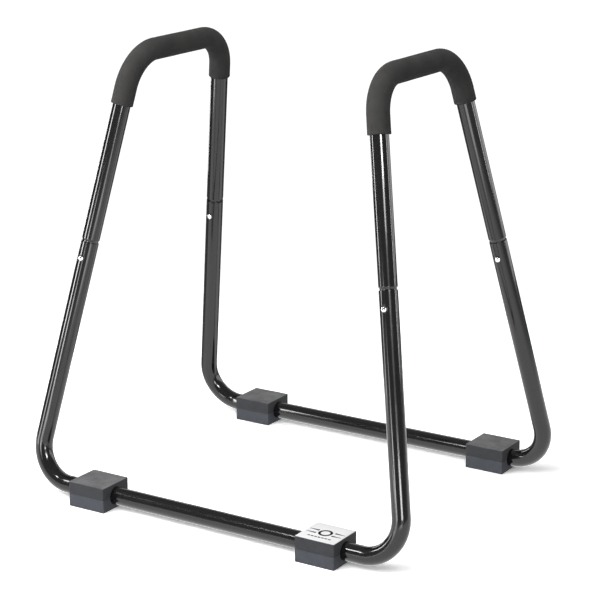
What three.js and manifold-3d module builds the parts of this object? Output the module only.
// A free-standing kip bar: two padded grip tubes plugged into two base tubes that stand on split rubber feet.
// Millimetres. +Z is up, +X is the user's right, -Y is the front. The floor is z = 0.
import * as THREE from "three";
import { mergeVertices } from "three/addons/utils/BufferGeometryUtils.js";
import Module from "manifold-3d";

// Where the straight centrelines would meet if the bends were sharp.
const GRIP_HALF_SPACING = 280;
const GRIP_HALF_LENGTH = 153;
const GRIP_HEIGHT = 905.5;
const BASE_HALF_WIDTH = 441.5;
const BASE_HALF_DEPTH = 313;
const RAIL_HEIGHT = 26.5;

const TUBE_RADIUS = 18.25;
const TUBE_WALL = 1.5;
const GRIP_BEND_RADIUS = 84;
const BASE_BEND_RADIUS = 75;
const TUBE_SIDES = 24;
const BEND_STEPS = 8;

// Distances along a leg, down from the grip's sharp corner.
const JOINT_RIM_AT = 394;
const SHOULDER_START_AT = 387;
const SHOULDER_END_AT = 392;
const SWAGED_END_AT = 484.5;
const BUTTON_AT = 428.5;
const FOAM_FRONT_END_AT = 105.5;
const FOAM_REAR_END_AT = 95.5;

const SWAGE_CLEARANCE = 0.4;
const SWAGE_REDUCTION = TUBE_WALL + SWAGE_CLEARANCE;

const FOAM_OUTER_RADIUS = 22.6;
const FOAM_INNER_RADIUS = 18.55;

const BUTTON_RADIUS = 5.9;
const BUTTON_HOLE_RADIUS = 6.2;
const BUTTON_TOP = 22.7;
const BUTTON_DOME_HEIGHT = 2.8;
const BUTTON_DOME_FLAT_RADIUS = 1;
const BUTTON_DOME_STEPS = 4;
const BUTTON_SIDES = 24;
const FLANGE_RADIUS = 7.4;
const FLANGE_BOTTOM = 11.2;
const FLANGE_THICKNESS = 1;
const BUTTON_BORE_RADIUS = 4.7;
const BUTTON_BORE_TOP = 19.7;

const SPRING_THICKNESS = 0.8;
const SPRING_WIDTH = 8;
const SPRING_BUTTON_ARM = 10.4;
const SPRING_WALL_ARM = -13.3;
const SPRING_TIP = -8;
const SPRING_KINK = 9;
const SPRING_FOLD = 42;
const SPRING_FOLD_DROP = -6;
const SPRING_BEND_RADIUS = 3;
const SPRING_BEND_STEPS = 4;

const FOOT_LENGTH = 87.8;
const FOOT_WIDTH = 83.4;
const FOOT_HEIGHT = 52.5;
const FOOT_CORNER_RADIUS = 1.6;
const FOOT_EDGE = 0.8;
const FOOT_CURVE_STEPS = 4;
const CHANNEL_RADIUS = 18.6;
const CHANNEL_SIDES = 48;
const SEAM_GAP = 0.3;

const LABEL_LENGTH = 86;
const LABEL_WIDTH = 81.6;
const LABEL_THICKNESS = 0.4;
const LABEL_CORNER_RADIUS = 1.5;
const LABEL_GAP = 0.3;

const BLACK_STEEL = { color: 0x121212, roughness: 0.2, metalness: 0.3 };
const FOAM = { color: 0x1b1b1b, roughness: 0.95, metalness: 0 };
const UPPER_RUBBER = { color: 0x48494b, roughness: 0.85, metalness: 0 };
const LOWER_RUBBER = { color: 0x54585f, roughness: 0.85, metalness: 0 };
const CHROME = { color: 0xe6e8ea, roughness: 0.08, metalness: 1 };
const SPRING_STEEL = { color: 0x8b8f94, roughness: 0.35, metalness: 1 };
const LABEL = { color: 0xeeeeee, roughness: 0.4, metalness: 0 };

const wasm = await Module();
wasm.setup();

// A centreline of straight runs joined by arcs. Its stations are the ends and the points of each arc.
class BentRun extends THREE.Curve {
  constructor(corners, radius, bendSteps) {
    super();
    this.points = [];
    this.tangents = [];
    const first = corners[1].clone().sub(corners[0]).normalize();
    const second = corners[2].clone().sub(corners[1]).normalize();
    this.planeNormal = first.clone().cross(second).normalize();
    this.addStation(corners[0], first);
    for (let i = 1; i < corners.length - 1; i += 1) {
      this.addBend(corners[i - 1], corners[i], corners[i + 1], radius, bendSteps);
    }
    const end = corners[corners.length - 1];
    const last = end.clone().sub(corners[corners.length - 2]).normalize();
    this.addStation(end, last);
  }

  addStation(point, tangent) {
    this.points.push(point.clone());
    this.tangents.push(tangent.clone());
  }

  addBend(before, corner, after, radius, bendSteps) {
    const into = corner.clone().sub(before).normalize();
    const outOf = after.clone().sub(corner).normalize();
    const turn = into.angleTo(outOf);
    const setback = radius * Math.tan(turn / 2);
    const side = outOf.clone().addScaledVector(into, -into.dot(outOf)).normalize();
    const start = corner.clone().addScaledVector(into, -setback);
    for (let i = 0; i <= bendSteps; i += 1) {
      const angle = (turn * i) / bendSteps;
      const point = start.clone();
      point.addScaledVector(into, radius * Math.sin(angle));
      point.addScaledVector(side, radius * (1 - Math.cos(angle)));
      const tangent = into.clone().multiplyScalar(Math.cos(angle));
      tangent.addScaledVector(side, Math.sin(angle));
      this.addStation(point, tangent);
    }
  }

  insertStationAfterStart(distance) {
    const tangent = this.tangents[0];
    this.points.splice(1, 0, this.points[0].clone().addScaledVector(tangent, distance));
    this.tangents.splice(1, 0, tangent.clone());
  }

  insertStationBeforeEnd(distance) {
    const last = this.points.length - 1;
    const tangent = this.tangents[last];
    this.points.splice(last, 0, this.points[last].clone().addScaledVector(tangent, -distance));
    this.tangents.splice(last, 0, tangent.clone());
  }

  get steps() {
    return this.points.length - 1;
  }

  getSpacedPoints() {
    return this.points;
  }

  computeFrenetFrames() {
    const binormals = this.tangents.map(() => this.planeNormal);
    const normals = this.tangents.map((tangent) => this.planeNormal.clone().cross(tangent));
    return { tangents: this.tangents, normals, binormals };
  }
}

function solidOf(geometry) {
  const bare = geometry.clone();
  bare.deleteAttribute("normal");
  bare.deleteAttribute("uv");
  const merged = mergeVertices(bare, 1e-4);
  const mesh = new wasm.Mesh({
    numProp: 3,
    vertProperties: merged.attributes.position.array,
    triVerts: new Uint32Array(merged.index.array),
  });
  return new wasm.Manifold(mesh);
}

function geometryOf(solid) {
  const mesh = solid.getMesh();
  const geometry = new THREE.BufferGeometry();
  geometry.setAttribute("position", new THREE.BufferAttribute(mesh.vertProperties, 3));
  geometry.setIndex(new THREE.BufferAttribute(mesh.triVerts, 1));
  geometry.computeVertexNormals();
  return geometry;
}

function cutFrom(geometry, cutters) {
  const left = cutters.reduce((solid, cutter) => solid.subtract(solidOf(cutter)), solidOf(geometry));
  return geometryOf(left);
}

function makeMesh(name, geometry, look) {
  const mesh = new THREE.Mesh(geometry, new THREE.MeshStandardMaterial(look));
  mesh.name = name;
  return mesh;
}

function circleOutline(radius, sides, PathClass) {
  const outline = new PathClass();
  for (let i = 0; i < sides; i += 1) {
    const angle = (2 * Math.PI * i) / sides;
    const x = radius * Math.cos(angle);
    const y = radius * Math.sin(angle);
    if (i === 0) {
      outline.moveTo(x, y);
    } else {
      outline.lineTo(x, y);
    }
  }
  outline.closePath();
  return outline;
}

function ringSection(outerRadius, innerRadius) {
  const section = circleOutline(outerRadius, TUBE_SIDES, THREE.Shape);
  section.holes.push(circleOutline(innerRadius, TUBE_SIDES, THREE.Path));
  return section;
}

function sweepSection(section, run) {
  return new THREE.ExtrudeGeometry(section, { steps: run.steps, extrudePath: run });
}

// The leg at one corner: side is -1 for left and 1 for right, end is -1 for front and 1 for rear.
function legAt(side, end) {
  const top = new THREE.Vector3(side * GRIP_HALF_SPACING, end * GRIP_HALF_LENGTH, GRIP_HEIGHT);
  const bottom = new THREE.Vector3(side * BASE_HALF_WIDTH, end * BASE_HALF_DEPTH, RAIL_HEIGHT);
  const down = bottom.clone().sub(top).normalize();
  const front = new THREE.Vector3(0, -1, 0);
  const outward = front.addScaledVector(down, -front.dot(down)).normalize();
  const at = (distance) => top.clone().addScaledVector(down, distance);
  return { top, bottom, down, outward, at };
}

// Narrows the part of a tube that lies beyond the shoulder of one leg.
function swageEnd(geometry, leg) {
  const position = geometry.attributes.position;
  const vertex = new THREE.Vector3();
  const shoulder = leg.at(SHOULDER_START_AT);
  for (let i = 0; i < position.count; i += 1) {
    vertex.fromBufferAttribute(position, i);
    const beyond = vertex.clone().sub(shoulder).dot(leg.down);
    const axisPoint = shoulder.clone().addScaledVector(leg.down, beyond);
    const radial = vertex.clone().sub(axisPoint);
    const share = THREE.MathUtils.clamp(beyond / (SHOULDER_END_AT - SHOULDER_START_AT), 0, 1);
    if (share > 0 && radial.length() < 2 * TUBE_RADIUS) {
      radial.setLength(radial.length() - SWAGE_REDUCTION * share);
      position.setXYZ(i, ...axisPoint.add(radial).toArray());
    }
  }
}

function buttonHoleCutter(leg) {
  const height = TUBE_RADIUS + TUBE_WALL;
  const cutter = new THREE.CylinderGeometry(BUTTON_HOLE_RADIUS, BUTTON_HOLE_RADIUS, height, BUTTON_SIDES);
  cutter.translate(0, height / 2, 0);
  const turn = new THREE.Quaternion().setFromUnitVectors(new THREE.Vector3(0, 1, 0), leg.outward);
  cutter.applyQuaternion(turn);
  return cutter.translate(...leg.at(BUTTON_AT).toArray());
}

function gripTube(name, front, rear) {
  const corners = [front.at(SWAGED_END_AT), front.top, rear.top, rear.at(SWAGED_END_AT)];
  const run = new BentRun(corners, GRIP_BEND_RADIUS, BEND_STEPS);
  for (const at of [SHOULDER_START_AT, SHOULDER_END_AT]) {
    run.insertStationAfterStart(SWAGED_END_AT - at);
    run.insertStationBeforeEnd(SWAGED_END_AT - at);
  }
  const tube = sweepSection(ringSection(TUBE_RADIUS, TUBE_RADIUS - TUBE_WALL), run);
  swageEnd(tube, front);
  swageEnd(tube, rear);
  return makeMesh(name, cutFrom(tube, [buttonHoleCutter(front), buttonHoleCutter(rear)]), BLACK_STEEL);
}

function baseTube(name, left, right) {
  const corners = [left.at(JOINT_RIM_AT), left.bottom, right.bottom, right.at(JOINT_RIM_AT)];
  const run = new BentRun(corners, BASE_BEND_RADIUS, BEND_STEPS);
  const tube = sweepSection(ringSection(TUBE_RADIUS, TUBE_RADIUS - TUBE_WALL), run);
  return makeMesh(name, cutFrom(tube, [buttonHoleCutter(left), buttonHoleCutter(right)]), BLACK_STEEL);
}

function foamGrip(name, front, rear) {
  const corners = [front.at(FOAM_FRONT_END_AT), front.top, rear.top, rear.at(FOAM_REAR_END_AT)];
  const run = new BentRun(corners, GRIP_BEND_RADIUS, BEND_STEPS);
  return makeMesh(name, sweepSection(ringSection(FOAM_OUTER_RADIUS, FOAM_INNER_RADIUS), run), FOAM);
}

// The button stands along +Z, measured from the axis of its leg.
function snapButton(name) {
  const domeBase = BUTTON_TOP - BUTTON_DOME_HEIGHT;
  const profile = [
    new THREE.Vector2(0, BUTTON_BORE_TOP),
    new THREE.Vector2(BUTTON_BORE_RADIUS, BUTTON_BORE_TOP),
    new THREE.Vector2(BUTTON_BORE_RADIUS, FLANGE_BOTTOM),
    new THREE.Vector2(FLANGE_RADIUS, FLANGE_BOTTOM),
    new THREE.Vector2(FLANGE_RADIUS, FLANGE_BOTTOM + FLANGE_THICKNESS),
    new THREE.Vector2(BUTTON_RADIUS, FLANGE_BOTTOM + FLANGE_THICKNESS),
  ];
  for (let i = 0; i <= BUTTON_DOME_STEPS; i += 1) {
    const angle = (Math.PI / 2) * (i / BUTTON_DOME_STEPS);
    const spread = (BUTTON_RADIUS - BUTTON_DOME_FLAT_RADIUS) * Math.cos(angle);
    const radius = BUTTON_DOME_FLAT_RADIUS + spread;
    profile.push(new THREE.Vector2(radius, domeBase + BUTTON_DOME_HEIGHT * Math.sin(angle)));
  }
  profile.push(new THREE.Vector2(0, BUTTON_TOP));
  const turned = new THREE.LatheGeometry(profile, BUTTON_SIDES);
  turned.rotateX(Math.PI / 2);
  return makeMesh(name, turned, CHROME);
}

// A folded strip: one arm lies on the wall behind the button, the other carries the button's flange.
function snapSpring(name) {
  const corners = [
    new THREE.Vector3(SPRING_TIP, 0, SPRING_BUTTON_ARM),
    new THREE.Vector3(SPRING_KINK, 0, SPRING_BUTTON_ARM),
    new THREE.Vector3(SPRING_FOLD, 0, SPRING_FOLD_DROP),
    new THREE.Vector3(SPRING_FOLD, 0, SPRING_WALL_ARM),
    new THREE.Vector3(SPRING_TIP, 0, SPRING_WALL_ARM),
  ];
  const run = new BentRun(corners, SPRING_BEND_RADIUS, SPRING_BEND_STEPS);
  const section = new THREE.Shape();
  section.moveTo(-SPRING_THICKNESS / 2, -SPRING_WIDTH / 2);
  section.lineTo(SPRING_THICKNESS / 2, -SPRING_WIDTH / 2);
  section.lineTo(SPRING_THICKNESS / 2, SPRING_WIDTH / 2);
  section.lineTo(-SPRING_THICKNESS / 2, SPRING_WIDTH / 2);
  section.closePath();
  return makeMesh(name, sweepSection(section, run), SPRING_STEEL);
}

// A frame on the leg's axis at the button: +X runs down the leg and +Z points out through the button.
function snapLock(place, leg) {
  const lock = new THREE.Group();
  const across = leg.outward.clone().cross(leg.down);
  lock.quaternion.setFromRotationMatrix(new THREE.Matrix4().makeBasis(leg.down, across, leg.outward));
  lock.position.copy(leg.at(BUTTON_AT));
  lock.add(snapButton(`${place}_snap_button`), snapSpring(`${place}_snap_spring`));
  return lock;
}

function roundedRectangle(length, width, radius) {
  const outline = new THREE.Shape();
  const x = length / 2 - radius;
  const y = width / 2 - radius;
  outline.absarc(x, y, radius, 0, Math.PI / 2);
  outline.absarc(-x, y, radius, Math.PI / 2, Math.PI);
  outline.absarc(-x, -y, radius, Math.PI, 1.5 * Math.PI);
  outline.absarc(x, -y, radius, 1.5 * Math.PI, 2 * Math.PI);
  return outline;
}

// Half of a foot, from one height to another, with its half of the round channel for the rail.
function footHalf(name, bottom, top, look) {
  const length = FOOT_LENGTH - 2 * FOOT_EDGE;
  const width = FOOT_WIDTH - 2 * FOOT_EDGE;
  const outline = roundedRectangle(length, width, FOOT_CORNER_RADIUS - FOOT_EDGE);
  const block = new THREE.ExtrudeGeometry(outline, {
    depth: top - bottom - 2 * FOOT_EDGE,
    bevelThickness: FOOT_EDGE,
    bevelSize: FOOT_EDGE,
    bevelSegments: 2,
    curveSegments: FOOT_CURVE_STEPS,
  });
  block.translate(0, 0, bottom + FOOT_EDGE);
  const channel = new THREE.CylinderGeometry(
    CHANNEL_RADIUS,
    CHANNEL_RADIUS,
    FOOT_LENGTH + 2 * FOOT_EDGE,
    CHANNEL_SIDES,
  );
  channel.rotateZ(Math.PI / 2).translate(0, 0, RAIL_HEIGHT);
  return makeMesh(name, cutFrom(block, [channel]), look);
}

function foot(place, x, y) {
  const block = new THREE.Group();
  block.position.set(x, y, 0);
  block.add(
    footHalf(`${place}_foot_lower`, 0, RAIL_HEIGHT - SEAM_GAP / 2, LOWER_RUBBER),
    footHalf(`${place}_foot_upper`, RAIL_HEIGHT + SEAM_GAP / 2, FOOT_HEIGHT, UPPER_RUBBER),
  );
  return block;
}

function footLabel(name) {
  const outline = roundedRectangle(LABEL_LENGTH, LABEL_WIDTH, LABEL_CORNER_RADIUS);
  const plate = new THREE.ExtrudeGeometry(outline, {
    depth: LABEL_THICKNESS,
    bevelEnabled: false,
    curveSegments: FOOT_CURVE_STEPS,
  });
  return makeMesh(name, plate.translate(0, 0, FOOT_HEIGHT + LABEL_GAP), LABEL);
}

const legs = {
  front_left: legAt(-1, -1),
  front_right: legAt(1, -1),
  rear_left: legAt(-1, 1),
  rear_right: legAt(1, 1),
};

// Each foot is pushed onto its rail separately, so the four don't line up exactly.
const FOOT_X = { front_left: -276.5, front_right: 269.5, rear_left: -289.5, rear_right: 304 };

const kipBar = new THREE.Group();
kipBar.add(
  gripTube("left_grip_tube", legs.front_left, legs.rear_left),
  gripTube("right_grip_tube", legs.front_right, legs.rear_right),
  baseTube("front_base_tube", legs.front_left, legs.front_right),
  baseTube("rear_base_tube", legs.rear_left, legs.rear_right),
  foamGrip("left_foam_grip", legs.front_left, legs.rear_left),
  foamGrip("right_foam_grip", legs.front_right, legs.rear_right),
);
for (const [place, leg] of Object.entries(legs)) {
  kipBar.add(snapLock(place, leg));
  kipBar.add(foot(place, FOOT_X[place], leg.bottom.y));
}
const label = footLabel("foot_label");
label.position.set(FOOT_X.front_right, legs.front_right.bottom.y, 0);
kipBar.add(label);

export default kipBar;
